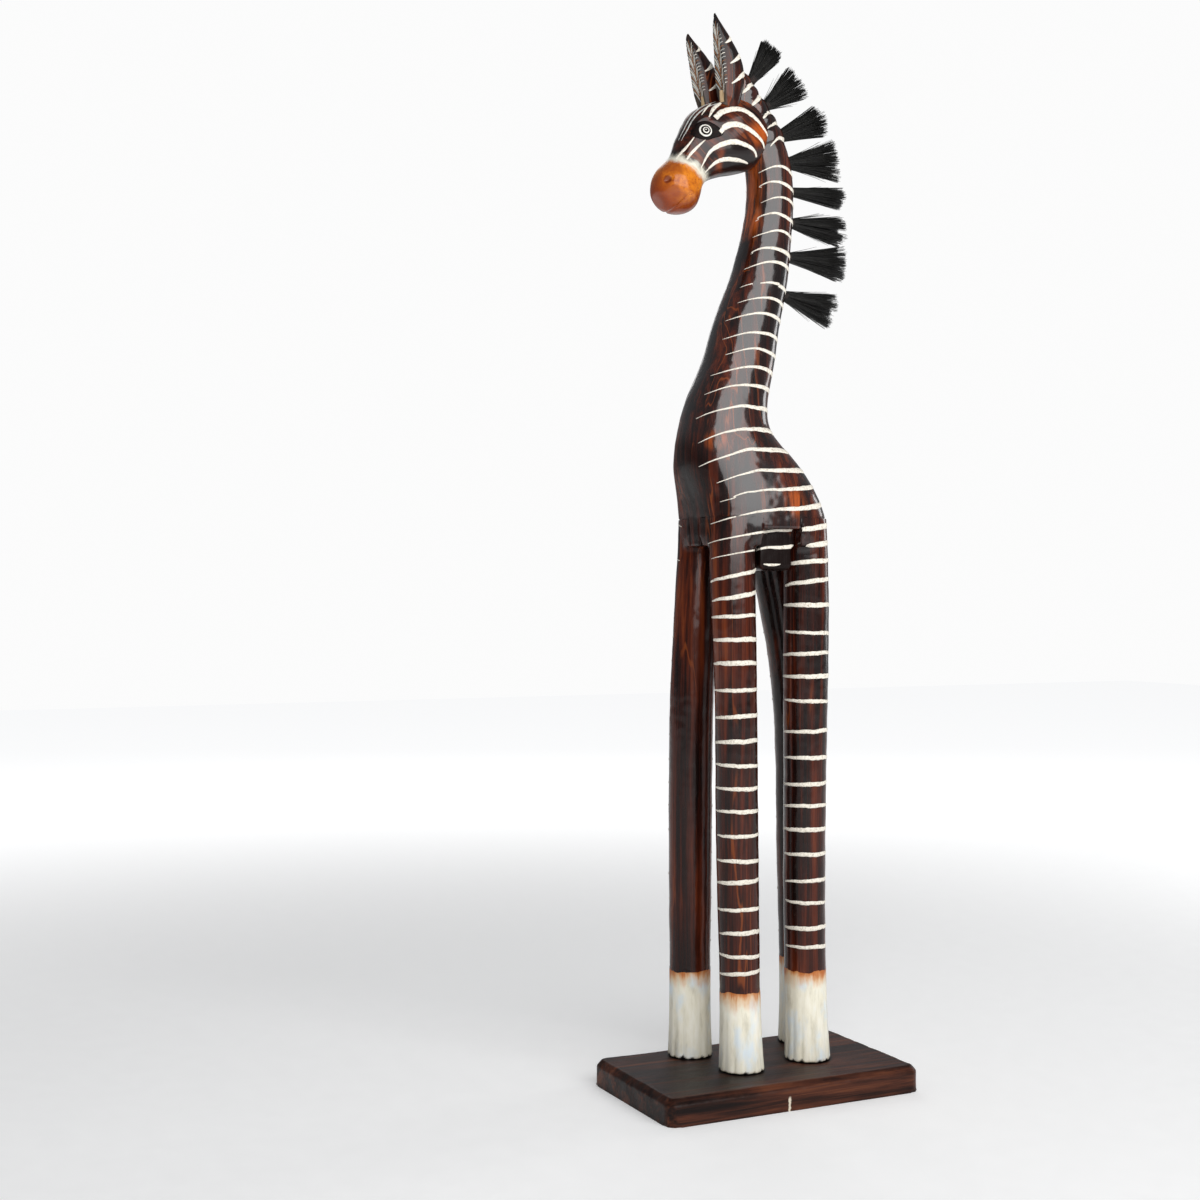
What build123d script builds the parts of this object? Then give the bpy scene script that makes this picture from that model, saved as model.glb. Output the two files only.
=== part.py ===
"""Tall carved and painted wooden animal on a plank: giraffe-bodied, zebra-striped.

Units are millimetres.  +Z is up, the animal looks along -X and its left flank faces -Y.
The origin is the middle of the plank's underside.  Every solid here is one real piece:
the body log is carved in one with the neck, the legs are staves let into its corners,
and the head, ears, tail and bristle tufts are pegged on.
"""
import os
from math import copysign, cos, pi, radians, sin

from build123d import *

os.makedirs("parts", exist_ok=True)

# ---- plank ---------------------------------------------------------------
PLANK_LENGTH = 264.0
PLANK_WIDTH = 156.0
PLANK_THICK = 24.5
PLANK_CORNER = 11.0
PLANK_CHAMFER = 5.5

# ---- animal --------------------------------------------------------------
MIDPLANE_Y = 18.0       # the animal stands a little to the right of the plank's middle
EAR_TIP_Z = 1005.0      # overall height
BELLY_Z = 505.0         # underside of the body log
NOTCH_TOP_Z = 531.0     # shoulder of the corner notches that take the legs
NOTCH_FRONT_X = -13.0   # the front staves lie ahead of this plane
NOTCH_HIND_X = 27.0     # the hind staves lie behind this plane
NOTCH_HALF_GAP = 9.0    # half of the web left between the left and right staves
RECESS_TOP_Z = 520.0    # between a front and a hind leg the flank is cut back below this
RECESS_HALF_WIDTH = 44.0
WEB_BOTTOM_Z = 482.0    # and the belly hangs lower there
WEB_FRONT_X = -10.5
WEB_HIND_X = 23.5
WEB_ROUNDING = 6.0

# body log and neck: height, centre x, half depth, half width, squareness of the section
BODY_SECTIONS = (
    (BELLY_Z, 7.6, 62, 55, 3.6),
    (513, 7.4, 62.3, 55.3, 3.6),
    (521, 7, 62.5, 55.6, 3.6),
    (531, 6.2, 62.6, 55.7, 3.5),
    (540, 4.4, 62.3, 55.4, 3.35),
    (549, 2, 61.6, 54.7, 3.2),
    (557.5, -0.9, 60.8, 53.5, 3.1),
    (566, -4.2, 59.7, 51.8, 3),
    (574.5, -8, 58, 50, 2.9),
    (583, -12, 55.5, 47.8, 2.8),
    (590, -15.2, 52.6, 46.2, 2.7),
    (597, -18.4, 49.2, 44.4, 2.6),
    (604, -21.2, 45.6, 42.4, 2.55),
    (611, -23.3, 42.6, 40.4, 2.5),
    (618, -24.2, 40.6, 39.1, 2.45),
    (626, -24, 39.2, 38, 2.4),
    (635, -22.4, 38, 36.9, 2.35),
    (645, -20, 37, 36, 2.3),
    (662, -14.2, 35, 34, 2.3),
    (681, -8, 33.2, 32.1, 2.3),
    (699, -3.6, 31.7, 31, 2.3),
    (718, 1, 30.4, 30, 2.3),
    (753, 12, 27.5, 27, 2.3),
    (789, 20, 24, 24, 2.3),
    (820, 25, 22.3, 22.3, 2.3),
)
# the nape, where the neck arches forward to the ears: x, z, lean forward, half sizes
NAPE_SECTIONS = (
    (26, 848, 3, 21.5, 21.5),
    (21.5, 874, 19, 21, 20.5),
    (11, 899, 30, 19, 18),
    (-2, 921, 35, 16, 15),
    (-12, 940, 38, 12, 12.5),
    (-16.5, 951, 40, 8, 9),
    (-19.5, 956, 42, 3, 3.5),
)

# ---- head ----------------------------------------------------------------
CHEEK_X = -9.0
CHEEK_Z = 886.0
HEAD_PITCH = 37.6       # degrees that the muzzle points below level
# along the head, lowest edge, highest edge, half width, squareness of the section
HEAD_SECTIONS = (
    (-31, -16, 22, 13, 2.3),
    (-25, -22, 29, 19, 2.5),
    (-14, -27, 37, 22.5, 2.5),
    (4, -28, 44, 24, 2.5),
    (19, -23.5, 47, 24.5, 2.4),
    (34, -17, 44.5, 23.5, 2.3),
    (49, -12, 38, 21, 2.2),
    (62, -13.5, 30.5, 19, 2.15),
    (71, -20, 26, 20.5, 2.15),
    (82, -24.3, 24.5, 23.4, 2.15),
    (93, -21.5, 21.5, 20.8, 2.15),
    (101.5, -15, 15, 14.8, 2.15),
    (106, -6.5, 6.5, 6.5, 2.15),
)

# ---- ears ----------------------------------------------------------------
EAR_ROOT_Z = 912.0
EAR_SPLAY_Y = 13.5      # each ear's distance from the midplane
# share of the ear's height, x ahead of the root, half depth, half width
EAR_SECTIONS = (
    (0.00, 0, 9, 7),
    (0.20, 1, 14, 10.5),
    (0.47, 2.5, 14, 10.5),
    (0.73, 11, 8, 6.5),
    (0.90, 18, 3.6, 3.2),
    (1.00, 21, 1.0, 1.0),
)
EAR_ROOT_X = -25.0
EAR_HOLLOW_RADIUS = 17.0
EAR_HOLLOW_DEPTH = 5.0
EAR_HOLLOW_LEAN = 11.0
EAR_HOLLOW_RISE = 5.0   # how far the hollow is shifted towards the tip
# side, tip height, root x, forward and outward lean of the tip
EARS = {
    "ear_left": (-1, EAR_TIP_Z, EAR_ROOT_X, 0, 0),
    "ear_right": (1, EAR_TIP_Z - 10, EAR_ROOT_X - 6, 5, 8),
}

# ---- legs: x, y and radius at each height --------------------------------
LEG_HEIGHTS = (PLANK_THICK, 60, 105, 320, 430, 480, NOTCH_TOP_Z)
LEGS = {
    "leg_front_left": ((-25, -17, 20.6), (-26, -17, 19), (-27, -17, 18.5), (-31, -18, 19.4),
                       (-33.5, -18, 20.2), (-34, -16, 21), (-31.5, -14, 20.5)),
    "leg_front_right": ((-43, 49, 20.6), (-43, 49, 19.5), (-43, 49, 19.3), (-42, 49, 20.7),
                        (-38, 48, 20.8), (-34, 49, 21), (-31.5, 50, 20.5)),
    "leg_hind_left": ((51, -9, 21), (50, -9, 19.7), (48.7, -9, 19.4), (48, -10, 20.4),
                      (48, -11.5, 21.3), (47, -13, 21), (44.5, -14, 20.5)),
    "leg_hind_right": ((79, 49, 20.6), (79, 49, 19.5), (78.5, 49, 19.3), (74, 49, 20),
                       (62, 49, 21.5), (51, 49.5, 21.5), (44.5, 50, 20.5)),
}

# ---- joinery and hardware ------------------------------------------------
NAPE_SQUARENESS = 2.2
REACH = 250.0           # half size of a cutting block that spans the whole animal
LEG_DOWEL_RADIUS = 6.0
LEG_DOWEL_LENGTH = 60.0
HEAD_DOWEL_RADIUS = 6.0
HEAD_DOWEL_LENGTH = 46.0
HEAD_DOWEL_START = -34.0    # along the head's own axis, inside the nape
EAR_DOWEL_RADIUS = 3.0
EAR_DOWEL_LENGTH = 24.0
EAR_DOWEL_SETBACK = (-6.0, 1.5, -8.0)   # from an ear's root: forward, inward and below
EAR_DOWEL_LEAN = -0.04
SCREW_LENGTH = 50.0
SCREW_SHANK_RADIUS = 2.25
SCREW_HEAD_RADIUS = 4.5
SCREW_HEAD_DEPTH = 3.5
SCREW_RECESS = 1.0
TUFT_ROOT_RADIUS = 3.5
TUFT_ROOT_DEPTH = 14.0

# mane: x and z of each root, direction above level, bristle length, half spread of the fan
TUFTS = (
    (5, 944, 54, 44, 12.5),
    (20, 922, 37.5, 49, 15.5),
    (30, 893, 24.5, 61, 14.5),
    (41, 871, 9, 62, 19.5),
    (46.5, 845, -1, 62.5, 9.5),
    (46.5, 815, -3, 63, 13.5),
    (43, 782, -2, 67, 16),
    (39.5, 745.5, -12.5, 59, 15.5),
)
TUFT_HALF_THICK = 8.0
TUFT_NECK = 7.0         # where the bristles start to fan out beyond the root

# tail, hung on a peg from the rump: x, z, lean from hanging straight, half depth, half width
TAIL_SECTIONS = (
    (63, 558, 60, 5, 6),
    (73, 551, 42, 6, 7.5),
    (80, 534, 14, 5.5, 7),
    (82, 505, 3, 4.5, 6),
    (82.5, 460, 0, 4.5, 6.5),
    (82.5, 432, 0, 6, 8.5),
    (81.5, 405, -4, 4.5, 6),
    (80.5, 388, -6, 1.2, 1.5),
)
TAIL_PEG_RADIUS = 3.0
TAIL_PEG_LENGTH = 24.0
TAIL_PEG_X = 50.0
TAIL_PEG_Z = 551.0

SECTION_POINTS = 16


def superellipse(plane, half_x, half_y, power=2.0):
    """Closed smooth outline on a plane, from an ellipse (2) towards a rounded rectangle."""
    points = []
    for step in range(SECTION_POINTS):
        angle = 2 * pi * step / SECTION_POINTS
        u = copysign(abs(cos(angle)) ** (2 / power), cos(angle)) * half_x
        v = copysign(abs(sin(angle)) ** (2 / power), sin(angle)) * half_y
        points.append(plane.from_local_coords(Vector(u, v, 0)))
    return Wire([Edge.make_spline(points, periodic=True)])


def leaning_plane(x, y, z, lean):
    """A level plane at a point, tipped by lean degrees so that its normal turns to -X."""
    tip = radians(lean)
    return Plane((x, y, z), x_dir=(cos(tip), 0, sin(tip)), z_dir=(-sin(tip), 0, cos(tip)))


def rod(start, direction, radius, length):
    """A plain round peg from a start point."""
    return Solid.make_cylinder(radius, length, Plane(start, z_dir=direction))


def body_form():
    wires = [superellipse(leaning_plane(x, MIDPLANE_Y, z, 0), depth, width, power)
             for z, x, depth, width, power in BODY_SECTIONS]
    wires += [superellipse(leaning_plane(x, MIDPLANE_Y, z, lean), depth, width, NAPE_SQUARENESS)
              for x, z, lean, depth, width in NAPE_SECTIONS]
    return Solid.make_loft(wires)


def head_plane(along):
    """Cross-section plane of the head, with local x upwards across it and local y sideways."""
    pitch = radians(HEAD_PITCH)
    origin = (CHEEK_X - along * cos(pitch), MIDPLANE_Y, CHEEK_Z - along * sin(pitch))
    return Plane(origin, x_dir=(-sin(pitch), 0, cos(pitch)), z_dir=(-cos(pitch), 0, -sin(pitch)))


def head_form():
    wires = []
    for along, low, high, width, power in HEAD_SECTIONS:
        plane = head_plane(along)
        plane = Plane(plane.from_local_coords(Vector((low + high) / 2, 0, 0)),
                      x_dir=plane.x_dir, z_dir=plane.z_dir)
        wires.append(superellipse(plane, (high - low) / 2, width, power))
    return Solid.make_loft(wires)


def ear_form(side, tip_z, root_x, tip_forward, tip_outward):
    """side is -1 for the left ear and 1 for the right; the front is scooped to a leaf."""
    y = MIDPLANE_Y + side * EAR_SPLAY_Y
    height = tip_z - EAR_ROOT_Z
    wires = []
    for share, ahead, depth, width in EAR_SECTIONS:
        plane = leaning_plane(root_x - ahead - share * tip_forward, y + side * share * tip_outward,
                              EAR_ROOT_Z + share * height, 0)
        wires.append(superellipse(plane, depth, width, 2.0))
    ear = Solid.make_loft(wires)
    middle, ahead, depth, width = EAR_SECTIONS[2]
    front_x = root_x - ahead - middle * tip_forward - depth
    centre = Vector(front_x + EAR_HOLLOW_DEPTH - EAR_HOLLOW_RADIUS, y + side * middle * tip_outward,
                    EAR_ROOT_Z + middle * height)
    lean = Vector(-EAR_HOLLOW_LEAN - tip_forward, side * tip_outward, height).normalized()
    scoop = rod(centre - lean * (height / 2 - EAR_HOLLOW_RISE), lean, EAR_HOLLOW_RADIUS, height)
    return ear - scoop


def leg_pole(stations):
    wires = [Wire.make_circle(radius, Plane((x, y, z)))
             for z, (x, y, radius) in zip(LEG_HEIGHTS, stations)]
    return Solid.make_loft(wires)


def notch_block(front, left):
    """The corner of the body log that a leg stave fills, from the belly to the notch's top."""
    x_low, x_high = (-REACH, NOTCH_FRONT_X) if front else (NOTCH_HIND_X, REACH)
    y_low, y_high = ((-REACH, MIDPLANE_Y - NOTCH_HALF_GAP) if left
                     else (MIDPLANE_Y + NOTCH_HALF_GAP, REACH))
    block = Solid.make_box(x_high - x_low, y_high - y_low, NOTCH_TOP_Z - BELLY_Z)
    return block.moved(Location((x_low, y_low, BELLY_Z)))


def flank_recess(side):
    """The shallow step cut into a flank between its two legs."""
    block = Solid.make_box(NOTCH_HIND_X - NOTCH_FRONT_X, REACH, RECESS_TOP_Z - BELLY_Z)
    y_low = MIDPLANE_Y + (RECESS_HALF_WIDTH if side > 0 else -RECESS_HALF_WIDTH - REACH)
    return block.moved(Location((NOTCH_FRONT_X, y_low, BELLY_Z)))


def belly_web():
    """The rounded block of belly that hangs between the front and the hind legs."""
    block = Solid.make_box(WEB_HIND_X - WEB_FRONT_X, 2 * RECESS_HALF_WIDTH, RECESS_TOP_Z - WEB_BOTTOM_Z)
    block = block.moved(Location((WEB_FRONT_X, MIDPLANE_Y - RECESS_HALF_WIDTH, WEB_BOTTOM_Z)))
    return fillet(block.edges().group_by(Axis.Z)[0], WEB_ROUNDING)


def tuft_form(x, z, rise, length, spread):
    """A bundle of bristles: a bound round root, fanning out flat in the midplane."""
    angle = radians(rise)
    along = Vector(cos(angle), 0, sin(angle))
    across = Vector(-sin(angle), 0, cos(angle))
    root = Vector(x, MIDPLANE_Y, z)
    stations = ((-TUFT_ROOT_DEPTH, TUFT_ROOT_RADIUS, TUFT_ROOT_RADIUS),
                (0, TUFT_ROOT_RADIUS, TUFT_ROOT_RADIUS),
                (TUFT_NECK, TUFT_ROOT_RADIUS + 1, TUFT_ROOT_RADIUS + 0.5),
                (0.4 * length, 0.45 * spread + 2.5, 0.7 * TUFT_HALF_THICK),
                (length, spread, TUFT_HALF_THICK))
    wires = [superellipse(Plane(root + along * distance, x_dir=across, z_dir=along), half, thick)
             for distance, half, thick in stations]
    return Solid.make_loft(wires)


def tail_form():
    wires = []
    for x, z, lean, depth, width in TAIL_SECTIONS:
        plane = leaning_plane(x, MIDPLANE_Y, z, lean)
        wires.append(superellipse(plane, depth, width))
    return Solid.make_loft(wires)


def plank_form():
    block = extrude(RectangleRounded(PLANK_LENGTH, PLANK_WIDTH, PLANK_CORNER), PLANK_THICK)
    top_rim = block.faces().sort_by(Axis.Z)[-1].edges()
    return chamfer(top_rim, PLANK_CHAMFER)


def screw_form(x, y):
    """Countersunk screw driven up through the plank into a foot."""
    head = Solid.make_cone(SCREW_HEAD_RADIUS, SCREW_SHANK_RADIUS, SCREW_HEAD_DEPTH,
                           Plane((x, y, SCREW_RECESS)))
    shank = rod((x, y, SCREW_RECESS + SCREW_HEAD_DEPTH), (0, 0, 1), SCREW_SHANK_RADIUS,
                SCREW_LENGTH - SCREW_HEAD_DEPTH)
    return head + shank


def single(shape):
    """The one solid of a result, so that each node holds exactly one piece."""
    solids = sorted(shape.solids(), key=lambda solid: solid.volume)
    return solids[-1]


nodes = {}

# legs and the log that they are let into
log_form = body_form()
log = log_form
above_belly = Solid.make_box(2 * REACH, 2 * REACH, REACH).moved(Location((-REACH, -REACH, BELLY_Z)))
leg_dowels = {}
for name, stations in LEGS.items():
    corner = notch_block("front" in name, "left" in name)
    pole = leg_pole(stations)
    stave_head = log_form & corner
    shaft = pole - above_belly
    bulge = (pole & corner) - log_form
    leg = shaft + stave_head + bulge
    log = log - corner
    x, y, _ = stations[-1]
    dowel = rod((x, y, NOTCH_TOP_Z - LEG_DOWEL_LENGTH / 2), (0, 0, 1), LEG_DOWEL_RADIUS,
                LEG_DOWEL_LENGTH)
    nodes[name] = leg - dowel
    log = log - dowel
    leg_dowels[name.replace("leg", "leg_dowel")] = dowel
nodes.update(leg_dowels)
log = log - flank_recess(-1) - flank_recess(1)
log = log + belly_web()

# plank and the four screws
plank = plank_form()
screws = []
for name, stations in LEGS.items():
    x, y, _ = stations[0]
    screw = screw_form(x, y)
    clearance = rod((x, y, 0), (0, 0, 1), SCREW_HEAD_RADIUS, SCREW_RECESS)
    plank = plank - screw - clearance
    nodes[name] = nodes[name] - screw
    screws.append(screw)
nodes["base_plank"] = plank

# head, seated on the front of the nape
whole_head = head_form()
head = whole_head - log_form
head_dowel_axis = head_plane(0).z_dir
head_dowel = rod(head_plane(HEAD_DOWEL_START).origin, head_dowel_axis, HEAD_DOWEL_RADIUS, HEAD_DOWEL_LENGTH)
head = head - head_dowel
log = log - head_dowel

# ears, pegged into the crown
for name, (side, tip_z, root_x, forward, outward) in EARS.items():
    ear = single(ear_form(side, tip_z, root_x, forward, outward) - whole_head - log_form)
    ahead, inward, below = EAR_DOWEL_SETBACK
    low = (root_x + ahead, MIDPLANE_Y + side * (EAR_SPLAY_Y - inward), EAR_ROOT_Z + below)
    dowel = rod(low, (EAR_DOWEL_LEAN, 0, 1), EAR_DOWEL_RADIUS, EAR_DOWEL_LENGTH)
    nodes[name] = ear - dowel
    nodes[name + "_dowel"] = dowel
    head = head - dowel
    log = log - dowel

# mane
for number, tuft in enumerate(TUFTS, start=1):
    bristles = tuft_form(*tuft)
    log = log - bristles
    nodes[f"mane_tuft_{number}"] = bristles

# tail
tail_peg = rod((TAIL_PEG_X, MIDPLANE_Y, TAIL_PEG_Z), (1, 0, 0), TAIL_PEG_RADIUS, TAIL_PEG_LENGTH)
tail = tail_form() - log_form
tail = single(tail) - tail_peg
log = log - tail_peg
nodes["tail"] = tail
nodes["tail_peg"] = tail_peg

nodes["body_and_neck"] = log
nodes["head"] = head
nodes["head_dowel"] = head_dowel

for name, shape in nodes.items():
    export_step(single(shape), f"parts/{name}.step")
export_step(Compound(children=screws), "parts/base_screws.step")
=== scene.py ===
"""Carved wooden giraffe with painted zebra stripes: the looks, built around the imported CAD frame.

Metres, in the row frame: the animal looks along -X, its left flank faces -Y, +Z is up.
"""

import math
import random

import bmesh
import bpy
import numpy as np
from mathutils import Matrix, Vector, noise
from mathutils.bvhtree import BVHTree
from mathutils.kdtree import KDTree


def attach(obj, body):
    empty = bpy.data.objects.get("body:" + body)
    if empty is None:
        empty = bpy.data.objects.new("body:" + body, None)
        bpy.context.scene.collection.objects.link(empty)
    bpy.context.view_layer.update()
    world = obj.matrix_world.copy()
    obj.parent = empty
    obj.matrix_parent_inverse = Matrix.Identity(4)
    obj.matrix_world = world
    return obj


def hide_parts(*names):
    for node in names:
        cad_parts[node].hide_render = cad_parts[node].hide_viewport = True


MM = 0.001
MID_Y = 18 * MM                 # the animal's middle plane
SIDES = (-1, 1)                 # left, right
PLANK_TOP = 24.5 * MM
FOOT_TOPS = {"leg_front_left": 97 * MM, "leg_front_right": 106 * MM,
             "leg_hind_left": 108.5 * MM, "leg_hind_right": 107 * MM}   # where the painted feet end
LEGS = ("leg_front_left", "leg_front_right", "leg_hind_left", "leg_hind_right")

HEAD_PITCH = math.radians(37.6)
CHEEK = Vector((-9, 18, 886)) * MM
HEAD_ALONG = Vector((-math.cos(HEAD_PITCH), 0, -math.sin(HEAD_PITCH)))
HEAD_UP = Vector((-math.sin(HEAD_PITCH), 0, math.cos(HEAD_PITCH)))

NOSTRIL = (94, 12.5, 15)        # along, above and beside the head's axis, mm
DARK_CHEEK = (24, -12, 22)
EYE = (36, 28)                  # along and above the axis, mm

LOG_UNDERSIDE = 505 * MM
NOTCH_TOP = 531 * MM            # the legs are let into the log up to here
CHIP = (-0.011, -0.077, 0.011)  # the top of a split in the near side of the plank

VARNISH_IOR = 1.75
DULL_CHEST = (-0.072, 0.030, 0.545)
# places and radii of rust-red patches, mm
BODY_RUST = (((2, 14, 868), 22), ((3, 14, 842), 25), ((0, 14, 812), 23), ((-50, -14, 600), 14),
             ((20, -36, 545), 18))
HEAD_RUST = (((2, -6, 889), 17), ((-14, 2, 925), 16), ((2, 42, 889), 17), ((-36, 2, 862), 12))

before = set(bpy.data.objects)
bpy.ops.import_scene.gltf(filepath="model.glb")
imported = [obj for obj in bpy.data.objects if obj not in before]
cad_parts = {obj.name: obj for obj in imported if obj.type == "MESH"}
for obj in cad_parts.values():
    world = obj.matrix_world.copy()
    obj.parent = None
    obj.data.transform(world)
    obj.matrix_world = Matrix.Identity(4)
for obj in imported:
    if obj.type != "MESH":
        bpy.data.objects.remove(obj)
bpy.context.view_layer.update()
chance = random.Random(7)


def beside_head(spot, side):
    """A place beside the head, from its distances along, above and off the head's axis in mm."""
    along, up, off = spot
    base = CHEEK + HEAD_ALONG * along * MM + HEAD_UP * up * MM
    return Vector((base.x, MID_Y + side * off * MM, base.z))


# ---- materials
class Graph:
    """A node material under construction."""

    def __init__(self, name):
        self.material = bpy.data.materials.new(name)
        self.material.use_nodes = True
        self.tree = self.material.node_tree
        self.tree.nodes.clear()
        self.shader = self.node("BsdfPrincipled")
        self.tree.links.new(self.shader.outputs[0], self.node("OutputMaterial").inputs[0])
        self.place = self.node("TexCoord").outputs["Object"]

    def put(self, socket, value):
        if isinstance(value, bpy.types.NodeSocket):
            self.tree.links.new(value, socket)
        else:
            socket.default_value = value

    def node(self, kind, inputs=None, **settings):
        """A new node: its settings first, then its inputs, each of them a value or another socket."""
        node = self.tree.nodes.new("ShaderNode" + kind)
        for name, value in settings.items():
            setattr(node, name, value)
        for name, value in (inputs or {}).items():
            self.put(node.inputs[name], value)
        return node

    def noise(self, scale, detail=4.0, rough=0.55, warp=0.0, turn=(0, 0, 0), shift=(0, 0, 0)):
        """Noise with its own number of waves to the metre along each axis."""
        inputs = {"Vector": self.place, "Location": shift, "Rotation": turn, "Scale": [1 / s for s in scale]}
        vector = self.node("Mapping", inputs, vector_type="TEXTURE").outputs[0]
        inputs = {"Vector": vector, "Scale": 1.0, "Detail": detail, "Roughness": rough, "Distortion": warp}
        return self.node("TexNoise", inputs).outputs["Fac"]

    def math(self, operation, a, b=0.0, c=0.0):
        return self.node("Math", {0: a, 1: b, 2: c}, operation=operation).outputs[0]

    def times(self, a, b, plus=0.0):
        return self.math("MULTIPLY_ADD", a, b, plus)

    def step(self, value, low, high):
        inputs = {"Value": value, "From Min": low, "From Max": high}
        return self.node("MapRange", inputs, interpolation_type="SMOOTHSTEP").outputs["Result"]

    def line(self, value, middle, wide, narrow):
        """1 where a value is at its middle, easing to 0 as it leaves it."""
        return self.step(self.math("ABSOLUTE", self.math("SUBTRACT", value, middle)), wide, narrow)

    def ramp(self, value, *stops):
        node = self.node("ValToRGB", {"Fac": value})
        elements = node.color_ramp.elements
        while len(elements) < len(stops):
            elements.new(0.5)
        for element, (position, colour) in zip(elements, stops):
            element.position = position
            element.color = (*colour, 1)
        return node.outputs["Color"]

    def mix(self, share, a, b):
        a, b = (v if isinstance(v, bpy.types.NodeSocket) else (*v, 1) for v in (a, b))
        return self.node("Mix", {"Factor": share, 6: a, 7: b}, data_type="RGBA").outputs[2]

    def dot(self, vector, direction, origin=(0, 0, 0)):
        moved = self.node("VectorMath", {0: vector, 1: origin}, operation="SUBTRACT").outputs[0]
        return self.node("VectorMath", {0: moved, 1: direction}, operation="DOT_PRODUCT").outputs["Value"]

    def height(self):
        return self.dot(self.place, (0, 0, 1))

    def near(self, point, radius):
        """1 at a point, easing to 0 at a radius from it."""
        node = self.node("VectorMath", {0: self.place, 1: point}, operation="DISTANCE")
        return self.step(node.outputs["Value"], radius, radius * 0.25)

    def attribute(self, name):
        return self.node("Attribute", attribute_name=name).outputs["Fac"]

    def finish(self, colour, rough, bump=None, depth=0.0, coat=0.0, coat_rough=0.1, specular=0.5):
        looks = {"Base Color": colour, "Roughness": rough, "Specular IOR Level": specular,
                 "Coat Weight": coat, "Coat Roughness": coat_rough, "Coat IOR": VARNISH_IOR}
        if bump is not None:
            relief = {"Strength": 1.0, "Distance": depth, "Height": bump}
            looks["Normal"] = self.node("Bump", relief).outputs[0]
        for name, value in looks.items():
            self.put(self.shader.inputs[name], value)
        return self.material


DARK = (0.0065, 0.0026, 0.0021)
BROWN = (0.024, 0.0048, 0.0026)
RED = (0.075, 0.0125, 0.0042)
EMBER = (0.17, 0.034, 0.0075)
RUST = (0.40, 0.078, 0.009)
VEIN = (0.20, 0.045, 0.009)
CREAM = (0.83, 0.78, 0.68)


def stained(graph, turn=(0, 0, 0), shift=(0, 0, 0), lift=0.0):
    """Dark stain with reddish streaks along the grain (the local Z axis): colour, streaks, fine grain."""
    broad = graph.noise((38, 38, 6), 3.0, 0.5, 0.4, turn, shift)
    streak = graph.noise((170, 170, 4), 5.0, 0.62, 0.3, turn, shift)
    fine = graph.noise((900, 900, 26), 3.0, 0.6, 0.0, turn, shift)
    mixed = graph.times(broad, 0.45, graph.times(streak, 0.55))
    mixed = graph.times(fine, 0.10, graph.math("ADD", mixed, lift))
    colour = graph.ramp(mixed, (0.50, DARK), (0.57, BROWN), (0.65, RED), (0.76, EMBER))
    # long thin veins that wander along the grain
    flow = graph.noise((52, 52, 2.6), 2.0, 0.45, 0.5, turn, shift)
    vein = graph.times(graph.line(flow, 0.5, 0.013, 0.003), graph.step(broad, 0.42, 0.60))
    return graph.mix(graph.times(vein, 0.75), colour, VEIN), streak, fine


def wood_surface(graph, colour, streak, fine, rough=0.21, coat=0.85):
    relief = graph.times(fine, 0.4, graph.times(streak, 0.6))
    shine = graph.times(streak, 0.12, rough)
    return graph.finish(colour, shine, relief, 0.0003, coat=coat, coat_rough=0.11, specular=0.12)


def rusted(graph, colour, streak, spots, faint, strength):
    """Rust-red patches that break up along the grain; each spot is a place and a radius in mm."""
    for point, radius in spots:
        patch = graph.near([p * MM for p in point], radius * MM)
        patch = graph.times(patch, graph.step(streak, faint, 0.60))
        colour = graph.mix(graph.times(patch, strength), colour, RUST)
    return colour


def log_wood(graph, redder=0.0):
    """The stain that runs on from the log into the legs, and the varnish that thins out downwards."""
    height = graph.height()
    lower = graph.step(height, 0.60, 0.46)
    colour, streak, fine = stained(graph, lift=graph.times(lower, 0.03 + redder))
    varnish = graph.times(graph.step(height, 0.46, 0.56), 0.55, 0.15)
    dull = graph.step(graph.near(DULL_CHEST, 85 * MM), 0.0, 0.55)
    return colour, streak, fine, graph.times(varnish, graph.times(dull, -0.9, 1.0))


def body_material():
    graph = Graph("stained_body")
    colour, streak, fine, varnish = log_wood(graph)
    colour = rusted(graph, colour, streak, BODY_RUST, 0.33, 0.9)
    # painted shade: a dark, unvarnished patch in the recess under the log on each side, between the legs
    for side in SIDES:
        shade = graph.near((7 * MM, MID_Y + side * 44 * MM, 500 * MM), 30 * MM)
        colour = graph.mix(graph.step(shade, 0.0, 0.5), colour, DARK)
        varnish = graph.times(varnish, graph.step(shade, 0.5, 0.0))
    return wood_surface(graph, colour, streak, fine, coat=varnish)


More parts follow.
